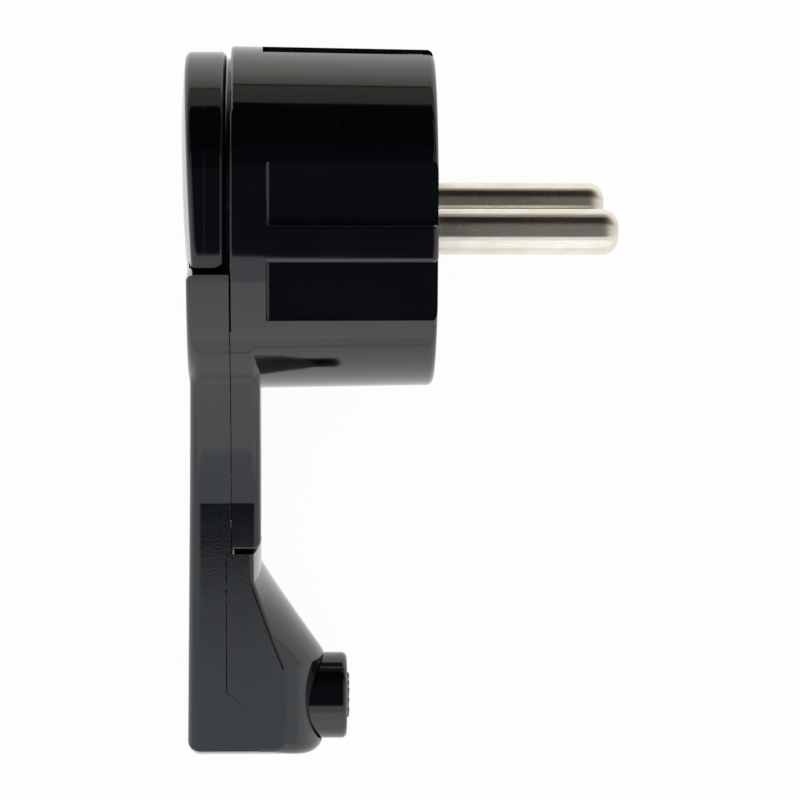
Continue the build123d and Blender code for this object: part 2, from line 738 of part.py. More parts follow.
# Lay the plug on its side and put the origin under the middle of its box
leaning = Rot(rest_tilt(), 0, 0)
laid = {}
for name, shape in nodes.items():
    solids = [solid for item in (shape if isinstance(shape, list) else [shape]) for solid in item.solids()]
    laid[name] = Compound([leaning * solid for solid in solids])
whole = Compound(list(laid.values())).bounding_box()
to_origin = Pos(-whole.center().X, -whole.center().Y, -whole.min.Z)

os.makedirs("parts", exist_ok=True)
for name, shape in laid.items():
    export_step(to_origin * shape, f"parts/{name}.step")
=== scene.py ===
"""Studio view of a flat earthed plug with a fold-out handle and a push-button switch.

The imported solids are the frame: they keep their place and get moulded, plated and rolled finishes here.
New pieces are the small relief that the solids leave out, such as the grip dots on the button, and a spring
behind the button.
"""
import logging
import math
from dataclasses import dataclass
from enum import Enum

import bpy
from mathutils import Matrix, Vector

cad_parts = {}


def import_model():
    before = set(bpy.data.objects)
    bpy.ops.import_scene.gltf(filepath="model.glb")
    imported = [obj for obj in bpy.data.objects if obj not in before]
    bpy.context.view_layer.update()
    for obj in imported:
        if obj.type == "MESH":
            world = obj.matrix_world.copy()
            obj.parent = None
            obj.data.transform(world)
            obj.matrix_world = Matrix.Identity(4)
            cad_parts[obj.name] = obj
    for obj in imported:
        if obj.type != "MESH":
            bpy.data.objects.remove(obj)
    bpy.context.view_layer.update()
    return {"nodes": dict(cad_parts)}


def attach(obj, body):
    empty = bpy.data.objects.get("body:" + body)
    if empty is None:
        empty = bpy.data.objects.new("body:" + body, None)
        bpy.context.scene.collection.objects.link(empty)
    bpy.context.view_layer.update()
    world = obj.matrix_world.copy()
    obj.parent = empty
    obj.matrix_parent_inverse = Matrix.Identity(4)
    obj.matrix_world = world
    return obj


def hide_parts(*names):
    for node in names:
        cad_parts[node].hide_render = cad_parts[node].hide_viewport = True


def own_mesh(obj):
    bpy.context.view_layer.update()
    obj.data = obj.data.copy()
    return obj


log = logging.getLogger("plug")

MM = 0.001

# Curve of the sRGB colour space
SRGB_KNEE = 0.04045
SRGB_SLOPE = 12.92
SRGB_OFFSET = 0.055
SRGB_POWER = 2.4

# Sockets of the colour mix, which share their names
MIX_SHARE = 0
MIX_FIRST = 6
MIX_SECOND = 7
MIX_COLOUR = 2

# Values between which most of a noise pattern lies
NOISE_LOW = 0.3
NOISE_HIGH = 0.7

# Side of the square picture in pixels, and width of the camera's sensor in millimetres
PICTURE_PX = 800
SENSOR_MM = 36.0


class Body(Enum):
    """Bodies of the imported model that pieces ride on."""

    HOUSING = "housing"
    HANDLE = "handle"
    BUTTON = "button"


def linear(hex_colour: str) -> tuple[float, float, float, float]:
    """Turn an sRGB hex colour into linear light.

    Args:
        hex_colour: Six hex digits, such as "1a1c1f".

    Returns:
        Red, green and blue in linear light, and an alpha of 1.
    """
    channels = [int(hex_colour[i:i + 2], 16) / 255 for i in (0, 2, 4)]
    light = []
    for channel in channels:
        if channel <= SRGB_KNEE:
            light.append(channel / SRGB_SLOPE)
        else:
            light.append(((channel + SRGB_OFFSET) / (1 + SRGB_OFFSET)) ** SRGB_POWER)
    return (*light, 1.0)


def add_node(tree: bpy.types.NodeTree, kind: str, settings: dict | None = None,
             inputs: dict | None = None) -> bpy.types.Node:
    """Add one shader node with its settings, values and links.

    Args:
        tree: Node tree that takes the node.
        kind: Blender's type name of the node.
        settings: Attribute names and values of the node.
        inputs: Input names or numbers; a value is set, an output socket is linked.

    Returns:
        The new node.
    """
    node = tree.nodes.new(kind)
    for name, value in (settings or {}).items():
        setattr(node, name, value)
    for name, value in (inputs or {}).items():
        if isinstance(value, bpy.types.NodeSocket):
            tree.links.new(value, node.inputs[name])
        else:
            node.inputs[name].default_value = value
    return node


def new_tree(name: str) -> tuple[bpy.types.Material, bpy.types.NodeTree, bpy.types.Node]:
    """Make a material with an empty tree and its output.

    Args:
        name: Name of the material.

    Returns:
        The material, its node tree and the output node.
    """
    material = bpy.data.materials.new(name)
    material.use_nodes = True
    tree = material.node_tree
    tree.nodes.clear()
    output = add_node(tree, "ShaderNodeOutputMaterial")
    return material, tree, output


@dataclass(frozen=True)
class MouldedPlastic:
    """Injection-moulded thermoplastic: a dark body under a clear skin, with the mould's fine grain.

    Attributes:
        name: Name of the material.
        colour: Body colour as sRGB hex.
        roughness: Mean roughness of the skin.
        spread: How far the roughness wanders over the surface.
        grain_mm: Size of the mould's grain.
        grain_depth_mm: Height of the grain.
        wave_mm: Size of the slow sink waves of thick walls.
        wave_depth_mm: Height of the waves.
        ior: Refractive index of the skin.
        tint_spread: Share by which the body colour wanders.
        dust_mm: Spacing of the cells of which some hold a speck of dust.
        dust_free: Share of the cells that hold none.
        dust_size: Radius of a speck as a share of the spacing.
        dust_colour: Colour of a speck as sRGB hex.
    """

    name: str
    colour: str
    roughness: float
    spread: float
    grain_mm: float
    grain_depth_mm: float
    wave_mm: float
    wave_depth_mm: float
    ior: float = 1.66
    tint_spread: float = 0.15
    dust_mm: float = 1.6
    dust_free: float = 0.62
    dust_size: float = 0.03
    dust_colour: str = "3c3e42"

    def build(self) -> bpy.types.Material:
        """Build the material.

        Returns:
            The finished material.
        """
        material, tree, output = new_tree(self.name)
        place = add_node(tree, "ShaderNodeTexCoord").outputs["Object"]
        cloud = add_node(tree, "ShaderNodeTexNoise", None,
                         {"Vector": place, "Scale": 1 / (self.wave_mm * MM), "Detail": 4.0,
                          "Roughness": 0.6})
        grain = add_node(tree, "ShaderNodeTexNoise", None,
                         {"Vector": place, "Scale": 1 / (self.grain_mm * MM), "Detail": 2.0,
                          "Roughness": 0.5})
        rough = add_node(tree, "ShaderNodeMapRange", None,
                         {"Value": cloud.outputs["Fac"], "From Min": NOISE_LOW, "From Max": NOISE_HIGH,
                          "To Min": self.roughness - self.spread, "To Max": self.roughness + self.spread})
        tint = add_node(tree, "ShaderNodeMapRange", None,
                        {"Value": cloud.outputs["Fac"], "From Min": NOISE_LOW, "From Max": NOISE_HIGH,
                         "To Min": 1 - self.tint_spread, "To Max": 1 + self.tint_spread})
        body = add_node(tree, "ShaderNodeMix", {"data_type": "RGBA", "blend_type": "MULTIPLY"},
                        {MIX_SHARE: 1.0, MIX_FIRST: linear(self.colour), MIX_SECOND: tint.outputs["Result"]})
        cells = add_node(tree, "ShaderNodeTexVoronoi", None,
                         {"Vector": place, "Scale": 1 / (self.dust_mm * MM)})
        near = add_node(tree, "ShaderNodeMath", {"operation": "LESS_THAN"},
                        {0: cells.outputs["Distance"], 1: self.dust_size})
        chosen = add_node(tree, "ShaderNodeMath", {"operation": "GREATER_THAN"},
                          {0: cells.outputs["Color"], 1: self.dust_free})
        speck = add_node(tree, "ShaderNodeMath", {"operation": "MULTIPLY"},
                         {0: near.outputs[0], 1: chosen.outputs[0]})
        dusted = add_node(tree, "ShaderNodeMix", {"data_type": "RGBA"},
                          {MIX_SHARE: speck.outputs[0], MIX_FIRST: body.outputs[MIX_COLOUR],
                           MIX_SECOND: linear(self.dust_colour)})
        slow = add_node(tree, "ShaderNodeBump", None,
                        {"Height": cloud.outputs["Fac"], "Distance": self.wave_depth_mm * MM,
                         "Strength": 1.0})
        fine = add_node(tree, "ShaderNodeBump", None,
                        {"Height": grain.outputs["Fac"], "Distance": self.grain_depth_mm * MM,
                         "Strength": 1.0, "Normal": slow.outputs["Normal"]})
        skin = add_node(tree, "ShaderNodeBsdfPrincipled", None,
                        {"Base Color": dusted.outputs[MIX_COLOUR], "Roughness": rough.outputs["Result"],
                         "IOR": self.ior, "Normal": fine.outputs["Normal"]})
        tree.links.new(skin.outputs["BSDF"], output.inputs["Surface"])
        return material


@dataclass(frozen=True)
class PlatedMetal:
    """Plated or rolled metal with fine drawn marks along X, worn places and smeared reflections.

    Attributes:
        name: Name of the material.
        colour: Reflected colour as sRGB hex.
        worn: Colour of rubbed or tarnished places as sRGB hex.
        roughness: Mean roughness.
        mark_mm: Spacing of the drawn marks.
        mark_depth_mm: Height of the marks.
        stain_mm: Size of the worn places.
        turned: Share by which round turning marks widen the reflections along X.
        lie: Stretch of the marks along the three axes, smallest along the marks.
        worn_from: Sum of stain and mark at which the worn colour starts.
        worn_to: Sum at which it is full.
        smoothest: Least roughness as a share of the mean.
        roughest: Greatest roughness as a share of the mean.
        smear_turn: Turn of the smear from round the pins to along them, in whole turns.
    """

    name: str
    colour: str
    worn: str
    roughness: float
    mark_mm: float
    mark_depth_mm: float
    stain_mm: float
    turned: float = 0.0
    lie: tuple[float, float, float] = (0.04, 1.0, 1.0)
    worn_from: float = 0.85
    worn_to: float = 1.3
    smoothest: float = 0.93
    roughest: float = 1.08
    smear_turn: float = 0.25

    def build(self) -> bpy.types.Material:
        """Build the material.

        Returns:
            The finished material.
        """
        material, tree, output = new_tree(self.name)
        place = add_node(tree, "ShaderNodeTexCoord").outputs["Object"]
        stain = add_node(tree, "ShaderNodeTexNoise", None,
                         {"Vector": place, "Scale": 1 / (self.stain_mm * MM), "Detail": 5.0,
                          "Roughness": 0.65})
        stretch = add_node(tree, "ShaderNodeMapping", {"vector_type": "POINT"},
                           {"Vector": place, "Scale": self.lie})
        marks = add_node(tree, "ShaderNodeTexNoise", None,
                         {"Vector": stretch.outputs["Vector"], "Scale": 1 / (self.mark_mm * MM),
                          "Detail": 3.0})
        both = add_node(tree, "ShaderNodeMath", {"operation": "ADD"},
                        {0: stain.outputs["Fac"], 1: marks.outputs["Fac"]})
        blend = add_node(tree, "ShaderNodeMapRange", None,
                         {"Value": both.outputs[0], "From Min": self.worn_from, "From Max": self.worn_to,
                          "To Min": 0.0, "To Max": 1.0})
        skin_colour = add_node(tree, "ShaderNodeMix", {"data_type": "RGBA"},
                               {MIX_SHARE: blend.outputs["Result"], MIX_FIRST: linear(self.colour),
                                MIX_SECOND: linear(self.worn)})
        rough = add_node(tree, "ShaderNodeMapRange", None,
                         {"Value": stain.outputs["Fac"], "From Min": NOISE_LOW, "From Max": NOISE_HIGH,
                          "To Min": self.roughness * self.smoothest,
                          "To Max": self.roughness * self.roughest})
        bump = add_node(tree, "ShaderNodeBump", None,
                        {"Height": marks.outputs["Fac"], "Distance": self.mark_depth_mm * MM,
                         "Strength": 1.0})
        round_x = add_node(tree, "ShaderNodeTangent", {"direction_type": "RADIAL", "axis": "X"})
        skin = add_node(tree, "ShaderNodeBsdfPrincipled", None,
                        {"Base Color": skin_colour.outputs[MIX_COLOUR], "Metallic": 1.0,
                         "Roughness": rough.outputs["Result"], "Normal": bump.outputs["Normal"],
                         "Anisotropic": self.turned, "Anisotropic Rotation": self.smear_turn,
                         "Tangent": round_x.outputs["Tangent"]})
        tree.links.new(skin.outputs["BSDF"], output.inputs["Surface"])
        return material


# Gloss black thermoplastic: near-black body, sharp reflections, a trace of blue
GLOSS_BLACK = MouldedPlastic("Gloss_black_moulded_plastic", "050507", 0.08, 0.025, 0.25, 0.0003, 9.0, 0.004)
# The same plastic from a fine-eroded mould: softer reflections and a faint grain
SATIN_BLACK = MouldedPlastic("Satin_black_moulded_plastic", "090a0c", 0.1, 0.035, 0.2, 0.0025, 7.0, 0.006)
# The button's harder plastic: gloss, with smaller sink waves
BUTTON_BLACK = MouldedPlastic("Button_black_moulded_plastic", "050506", 0.1, 0.025, 0.2, 0.0003, 4.0, 0.002)
# Glass-filled plastic of the inner carriers: pale, dull and faintly grained
PALE_PLASTIC = MouldedPlastic("Glass_filled_pale_plastic", "cbc6b8", 0.5, 0.05, 0.2, 0.002, 4.0, 0.003)
# Soft vinyl round the inner lead: brown, with a dull shine
LEAD_SKIN = MouldedPlastic("Soft_brown_lead_insulation", "6b3a22", 0.45, 0.05, 0.3, 0.002, 3.0, 0.004)
# Nickel plate over brass: warm grey mirror whose turning marks smear reflections along the pins
NICKEL = PlatedMetal("Nickel_plated_brass", "f7f0e5", "ebe0ce", 0.265, 0.12, 0.0005, 3.5, 1.0)
# Rolled brass of the contacts: yellow, with darker tarnish
CONTACT_BRASS = PlatedMetal("Rolled_contact_brass", "d8b35c", "b48c40", 0.28, 0.2, 0.001, 2.0)
# Zinc-plated steel of the screws and the spring: cool grey with dull patches
STEEL = PlatedMetal("Zinc_plated_steel", "b9babd", "97989c", 0.3, 0.15, 0.001, 1.5)


class Dress:
    """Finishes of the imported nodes."""

    by_node: dict[str, MouldedPlastic | PlatedMetal] = {
        "front_housing": GLOSS_BLACK,
        "rear_housing": SATIN_BLACK,
        "switch_cover": SATIN_BLACK,
        "pull_handle": GLOSS_BLACK,
        "push_button": BUTTON_BLACK,
        "button_spring": STEEL,
        "contact_bridge": CONTACT_BRASS,
        "switch_base": PALE_PLASTIC,
        "line_contact": CONTACT_BRASS,
        "load_contact": CONTACT_BRASS,
        "live_pin": NICKEL,
        "neutral_pin": NICKEL,
        "pin_carrier": PALE_PLASTIC,
        "earth_strap": NICKEL,
        "earth_tube": NICKEL,
        "terminal_screws": STEEL,
        "housing_screws": STEEL,
        "cord_clamp": PALE_PLASTIC,
        "clamp_screws": STEEL,
        "switched_lead": LEAD_SKIN,
    }

    def __init__(self, nodes: dict[str, bpy.types.Object]) -> None:
        """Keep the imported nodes.

        Args:
            nodes: Node names and their objects.
        """
        self.nodes = nodes

    def apply(self) -> None:
        """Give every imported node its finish."""
        made: dict[str, bpy.types.Material] = {}
        for name, finish in self.by_node.items():
            if finish.name not in made:
                made[finish.name] = finish.build()
            slots = self.nodes[name].data.materials
            slots.clear()
            slots.append(made[finish.name])
            log.info("node %s: %s", name, finish.name)

    def finish_of(self, name: str) -> bpy.types.Material:
        """Return the material that a dressed node carries."""
        return self.nodes[name].data.materials[0]


@dataclass
class LaidPlug:
    """How the plug lies in the frame: its own axes turned about X and shifted, in millimetres.

    Attributes:
        tilt_deg: Angle by which it leans on its side.
        shift: Place of its own origin in the frame.
    """

    tilt_deg: float = 11.06288
    shift: tuple[float, float, float] = (3.80359, 19.9058, 18.2)

    def matrix(self) -> Matrix:
        """Return the matrix from the plug's own axes, in millimetres, to the frame in metres."""
        lean = Matrix.Rotation(math.radians(self.tilt_deg), 4, "X")
        return Matrix.Scale(MM, 4) @ Matrix.Translation(Vector(self.shift)) @ lean


@dataclass
class GripDots:
    """Raised dots on the button's front that the finger feels, in the plug's own axes and millimetres.

    Attributes:
        laid: How the plug lies.
        front: Middle of the button's front face.
        dot_radius: Radius of a dot where it leaves the face.
        dot_height: Height of a dot.
        sunk: Depth to which a dot's closed base lies in the button.
        pitch: Distance between neighbouring dots.
        rings: Rings of dots round the middle one.
        ball_segments: Segments round the ball from which a dot is cut.
        ball_rings: Rings of that ball.
        smooth_deg: Angle below which edges are shaded smooth.
    """

    laid: LaidPlug
    front: tuple[float, float, float] = (-9.0, -52.8, 0.0)
    dot_radius: float = 0.45
    dot_height: float = 0.28
    sunk: float = 0.08
    pitch: float = 1.1
    rings: int = 2
    ball_segments: int = 14
    ball_rings: int = 16
    smooth_deg: float = 40.0

    def places(self) -> list[tuple[float, float]]:
        """Return the centres of the dots: one in the middle and hexagonal rings round it."""
        span = range(-self.rings, self.rings + 1)
        steps = [(i, j) for i in span for j in span if abs(i + j) <= self.rings]
        return [(self.pitch * (i + j / 2), self.pitch * j * math.sqrt(3) / 2) for i, j in steps]

    def build(self, finish: bpy.types.Material) -> bpy.types.Object:
        """Model one dot, copy it over the face and dress the dots.

        Args:
            finish: Material of the button.

        Returns:
            One object with all the dots, riding on the button.
        """
        ball = (self.dot_radius**2 + self.dot_height**2) / (2 * self.dot_height)
        bpy.ops.object.select_all(action="DESELECT")
        bpy.ops.mesh.primitive_uv_sphere_add(segments=self.ball_segments, ring_count=self.ball_rings,
                                             radius=ball)
        first = bpy.context.object
        bpy.ops.object.mode_set(mode="EDIT")
        bpy.ops.mesh.select_all(action="SELECT")
        bpy.ops.transform.rotate(value=math.radians(90), orient_axis="Y", center_override=(0, 0, 0))
        cut_x = ball - self.dot_height - self.sunk
        bpy.ops.mesh.select_all(action="SELECT")
        bpy.ops.mesh.bisect(plane_co=(cut_x, 0, 0), plane_no=(1, 0, 0), use_fill=True, clear_inner=True)
        bpy.ops.mesh.select_all(action="SELECT")
        bpy.ops.mesh.normals_make_consistent(inside=False)
        bpy.ops.object.mode_set(mode="OBJECT")
        bpy.ops.object.shade_smooth_by_angle(angle=math.radians(self.smooth_deg))
        base_x = self.front[0] - (ball - self.dot_height)
        dots = [first]
        for y, z in self.places()[1:]:
            copy = first.copy()
            copy.data = first.data.copy()
            bpy.context.scene.collection.objects.link(copy)
            copy.location = (base_x, self.front[1] + y, self.front[2] + z)
            dots.append(copy)
        y, z = self.places()[0]
        first.location = (base_x, self.front[1] + y, self.front[2] + z)
        return finish_piece(dots, "button_grip_dots", self.laid, finish, Body.BUTTON)


@dataclass
class HandleMouldLine:
    """Hairline ridge that the two halves of the mould leave round the handle, in the plug's own millimetres.

    Attributes:
        laid: How the plug lies.
        x: Place of the ridge along the pins.
        rim_radius: Radius of the handle's rim.
        end_reach: How far the ridge runs below the pin axis at both legs.
        half_width: Half of the ridge's width.
        height: Height of the ridge.
        steps: Number of steps round the rim.
        section_sides: Sides of the ridge's section.
        smooth_deg: Angle below which edges are shaded smooth.
    """

    laid: LaidPlug
    x: float = -23.95
    rim_radius: float = 17.6
    end_reach: float = 1.9
    half_width: float = 0.07
    height: float = 0.035
    steps: int = 72
    section_sides: int = 6
    smooth_deg: float = 50.0

    def build(self, finish: bpy.types.Material) -> bpy.types.Object:
        """Spin a small section round the rim.

        Args:
            finish: Material of the handle.

        Returns:
            The ridge, riding on the handle.
        """
        low = math.asin(self.end_reach / self.rim_radius)
        sweep = math.pi + 2 * low
        bpy.ops.object.select_all(action="DESELECT")
        bpy.ops.mesh.primitive_circle_add(vertices=self.section_sides, radius=1.0, fill_type="NOTHING")
        ridge = bpy.context.object
        bpy.ops.object.mode_set(mode="EDIT")
        bpy.ops.mesh.select_all(action="SELECT")
        bpy.ops.transform.resize(value=(self.half_width, self.height, 1.0), center_override=(0, 0, 0))
        bpy.ops.mesh.edge_face_add()
        bpy.ops.transform.translate(value=(self.x, self.rim_radius, 0))
        bpy.ops.transform.rotate(value=-sweep / 2, orient_axis="X", center_override=(0, 0, 0))
        bpy.ops.mesh.spin(steps=self.steps, angle=sweep, center=(0, 0, 0), axis=(1, 0, 0))
        bpy.ops.mesh.select_all(action="SELECT")
        bpy.ops.mesh.normals_make_consistent(inside=False)
        bpy.ops.object.mode_set(mode="OBJECT")
        bpy.ops.object.shade_smooth_by_angle(angle=math.radians(self.smooth_deg))
        return finish_piece([ridge], "handle_mould_line", self.laid, finish, Body.HANDLE)


@dataclass
class ReturnSpring:
    """Wire spring behind the button, in the plug's own millimetres.

    Attributes:
        laid: How the plug lies.
        base_x: Place of the switch base on which the spring stands.
        length: Length of the spring with the button out.
        stroke: Stroke of the button; not used.
        axis_reach: Distance of the spring's axis below the pin axis.
        coil_radius: Radius of the coil, to the middle of the wire.
        wire_radius: Radius of the wire.
        turns: Number of turns.
        wire_sides: Sides of the wire's section.
        turn_steps: Steps in one turn.
        smooth_deg: Angle below which edges are shaded smooth.
    """

    laid: LaidPlug
    base_x: float = -19.6
    length: float = 8.99
    stroke: float = 2.2
    axis_reach: float = 52.8
    coil_radius: float = 2.75
    wire_radius: float = 0.275
    turns: int = 5
    wire_sides: int = 12
    turn_steps: int = 40
    smooth_deg: float = 50.0

    def build(self, finish: bpy.types.Material) -> bpy.types.Object:
        """Wind the wire round the spring's axis.

        Args:
            finish: Material of the spring.

        Returns:
            The spring, standing on the housing.
        """
        bpy.ops.object.select_all(action="DESELECT")
        bpy.ops.mesh.primitive_circle_add(vertices=self.wire_sides, radius=self.wire_radius,
                                          fill_type="NOTHING")
        wire = bpy.context.object
        bpy.ops.object.mode_set(mode="EDIT")
        bpy.ops.mesh.select_all(action="SELECT")
        bpy.ops.transform.rotate(value=math.radians(90), orient_axis="X", center_override=(0, 0, 0))
        bpy.ops.transform.translate(value=(self.base_x + self.wire_radius, 0, -self.coil_radius))
        bpy.ops.object.mode_set(mode="OBJECT")
        wound = wire.modifiers.new("Turns", "SCREW")
        wound.axis = "X"
        wound.angle = math.tau
        wound.screw_offset = (self.length - 2 * self.wire_radius) / self.turns
        wound.iterations = self.turns
        wound.steps = self.turn_steps
        wound.render_steps = self.turn_steps
        bpy.ops.object.modifier_apply(modifier=wound.name)
        bpy.ops.object.mode_set(mode="EDIT")
        bpy.ops.mesh.select_all(action="SELECT")
        bpy.ops.mesh.fill_holes(sides=self.wire_sides)
        bpy.ops.mesh.select_all(action="SELECT")
        bpy.ops.mesh.normals_make_consistent(inside=False)
        bpy.ops.object.mode_set(mode="OBJECT")
        bpy.ops.object.shade_smooth_by_angle(angle=math.radians(self.smooth_deg))
        wire.location = (0, -self.axis_reach, 0)
        spring = finish_piece([wire], "button_return_spring", self.laid, finish, Body.HOUSING)
        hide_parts("button_spring")
        foot = self.laid.matrix() @ Vector((self.base_x, -self.axis_reach, 0))
        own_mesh(spring)
        return spring


@dataclass(frozen=True)
class RootHalf:
    """One half of the hollow at the arm's root, along the pins.

    Attributes:
        name: Name of the piece.
        node: Node that it belongs to.
        slot: Material slot of the record; not used.
        seam_x: Its end at the seam between the two housings.
        outer_x: Its other end.
        arm_round_x: Place at which the rounding of the arm's edge starts.
        arm_round: Radius of that rounding.
        body_round_x: Place at which the rounding of the round body's edge starts.
        body_round: Radius of that rounding.
        fade_x: Place from which the hollow runs out towards its outer end.
    """

    name: str
    node: str
    slot: str
    seam_x: float
    outer_x: float
    arm_round_x: float
    arm_round: float
    body_round_x: float
    body_round: float
    fade_x: float


@dataclass
class ArmRoot:
    """Soft hollow where the arm's flanks leave the round body, in the plug's own axes and millimetres.

    Attributes:
        laid: How the plug lies.
        root_radius: Radius of the round body at its back.
        draft: Slope by which the round body narrows towards its face.
        seam_x: Place at which the root radius holds.
        flank: Reach below the pin axis and half width of the arm, at its root, half way and at its waist.
        blend: Difference in height over which round body and flank melt into each other.
        sunk: Depth to which the hollow's edges lie in the solids.
        skin: Thickness of the piece.
        reach: Reaches between which the hollow lies.
        rows: Rows of faces across the hollow.
        columns: Columns of faces along the pins.
        least_blend: Share of a half's blend that is left at its outer end.
        smooth_deg: Angle below which edges are shaded smooth.
        halves: The halves on both sides of the seam.
    """

    laid: LaidPlug
    root_radius: float = 18.2
    draft: float = 0.01636
    seam_x: float = -21.4
    flank: tuple[tuple[float, float], ...] = ((14.25, 11.2), (21.775, 8.76), (29.3, 7.6))
    blend: float = 2.4
    sunk: float = 0.04
    skin: float = 0.4
    reach: tuple[float, float] = (9.5, 20.5)
    rows: int = 40
    columns: int = 12
    least_blend: float = 0.02
    smooth_deg: float = 40.0
    halves: tuple[RootHalf, ...] = (
        RootHalf("rear_root_hollow", "rear_housing", "foot_plastic", seam_x=-21.5, outer_x=-25.6,
                 arm_round_x=-24.3, arm_round=1.4, body_round_x=-25.0, body_round=0.9, fade_x=-25.2),
        RootHalf("front_root_hollow", "front_housing", "housing_plastic", seam_x=-21.4, outer_x=-18.42,
                 arm_round_x=-19.2, arm_round=0.9, body_round_x=-18.42, body_round=0.9, fade_x=-19.2),
    )

    def arm_half_width(self, reach: float) -> float:
        """Return the arm's half width at a reach, on the curve through its three known widths."""
        width = 0.0
        for i, (own, half) in enumerate(self.flank):
            others = [other for j, (other, _) in enumerate(self.flank) if j != i]
            width += half * math.prod((reach - other) / (own - other) for other in others)
        return width

    def height(self, half: RootHalf, x: float, reach: float) -> float:
        """Work out the height of the hollow over the plug's middle plane.

        Args:
            half: Half of the hollow.
            x: Place along the pins.
            reach: Distance below the pin axis.

        Returns:
            The height at that place.
        """
        way = math.copysign(1.0, half.outer_x - half.seam_x)
        past_arm = min(max(way * (x - half.arm_round_x), 0.0), half.arm_round)
        past_body = min(max(way * (x - half.body_round_x), 0.0), half.body_round)
        arm_drop = half.arm_round - math.sqrt(half.arm_round**2 - past_arm**2)
        body_drop = half.body_round - math.sqrt(half.body_round**2 - past_body**2)
        radius = self.root_radius - self.draft * max(x - self.seam_x, 0.0) - body_drop
        body = math.sqrt(max(radius**2 - reach**2, 0.0))
        arm = self.arm_half_width(reach) - arm_drop
        near_end = (half.outer_x - x) / (half.outer_x - half.fade_x)
        blend = self.blend * max(min(near_end, 1.0), self.least_blend)
        shared = max(blend - abs(body - arm), 0.0)
        return max(body, arm) + shared**2 / (4 * blend) - self.sunk

    def sheet(self, half: RootHalf, side: int) -> bpy.types.Object:
        """Bend a grid over the hollow on one side of the plug and give it a skin.

        Args:
            half: Half of the hollow.
            side: 1 for the side that lies up, -1 for the other.

        Returns:
            The closed sheet.
        """
        bpy.ops.object.select_all(action="DESELECT")
        bpy.ops.mesh.primitive_grid_add(x_subdivisions=self.columns, y_subdivisions=self.rows, size=2.0)
        sheet = bpy.context.object
        low, high = sorted((half.seam_x, half.outer_x))
        for vertex in sheet.data.vertices:
            x = low + (1 + side * vertex.co.x) / 2 * (high - low)
            reach = self.reach[1] - (1 + vertex.co.y) / 2 * (self.reach[1] - self.reach[0])
            vertex.co = Vector((x, -reach, side * self.height(half, x, reach)))
        thick = sheet.modifiers.new("Skin", "SOLIDIFY")
        thick.thickness = self.skin
        thick.offset = -1.0
        bpy.ops.object.modifier_apply(modifier=thick.name)
        bpy.ops.object.shade_smooth_by_angle(angle=math.radians(self.smooth_deg))
        return sheet

    def build(self, dress: Dress) -> None:
        """Make both halves on both sides.

        Args:
            dress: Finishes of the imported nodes.
        """
        for half in self.halves:
            sheets = [self.sheet(half, side) for side in (1, -1)]
            finish_piece(sheets, half.name, self.laid, dress.finish_of(half.node), Body.HOUSING)


def finish_piece(parts: list[bpy.types.Object], name: str, laid: LaidPlug, finish: bpy.types.Material,
                 body: Body) -> bpy.types.Object:
    """Join parts drawn in the plug's own axes, lay them in the frame, dress them and let them ride.

    Args:
        parts: Objects of one piece, in millimetres of the plug's own axes.
        name: Name of the piece.
        laid: How the plug lies.
        finish: Material of the piece.
        body: Body on which it rides.

    Returns:
        The finished piece, with its place in its mesh.
    """
    bpy.ops.object.select_all(action="DESELECT")
    for part in parts:
        part.select_set(True)
    bpy.context.view_layer.objects.active = parts[0]
    bpy.ops.object.transform_apply(location=True, rotation=True, scale=True)
    if len(parts) > 1:
        bpy.ops.object.join()
    piece = bpy.context.object
    piece.name = name
    piece.matrix_world = laid.matrix()
    bpy.ops.object.transform_apply(location=True, rotation=True, scale=True)
    piece.data.materials.clear()
    piece.data.materials.append(finish)
    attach(piece, body.value)
    log.info("piece %s: %d faces on %s", name, len(piece.data.polygons), body.value)
    return piece


@dataclass(frozen=True)
class Card:
    """Curved card over the table, hidden from the lens, that the gloss surfaces mirror.

    Attributes:
        name: Name of the card.
        start_deg: Angle of its lower picture edge from straight up, towards the top of the picture.
        end_deg: Angle of its other edge.
        half_width: Half of its width along the pins, in metres.
        colour: Its brightness as sRGB hex.
        radius: Distance from the table's middle in metres.
        steps: Steps along its curve.
    """

    name: str
    start_deg: float
    end_deg: float
    half_width: float
    colour: str
    radius: float = 1.2
    steps: int = 24


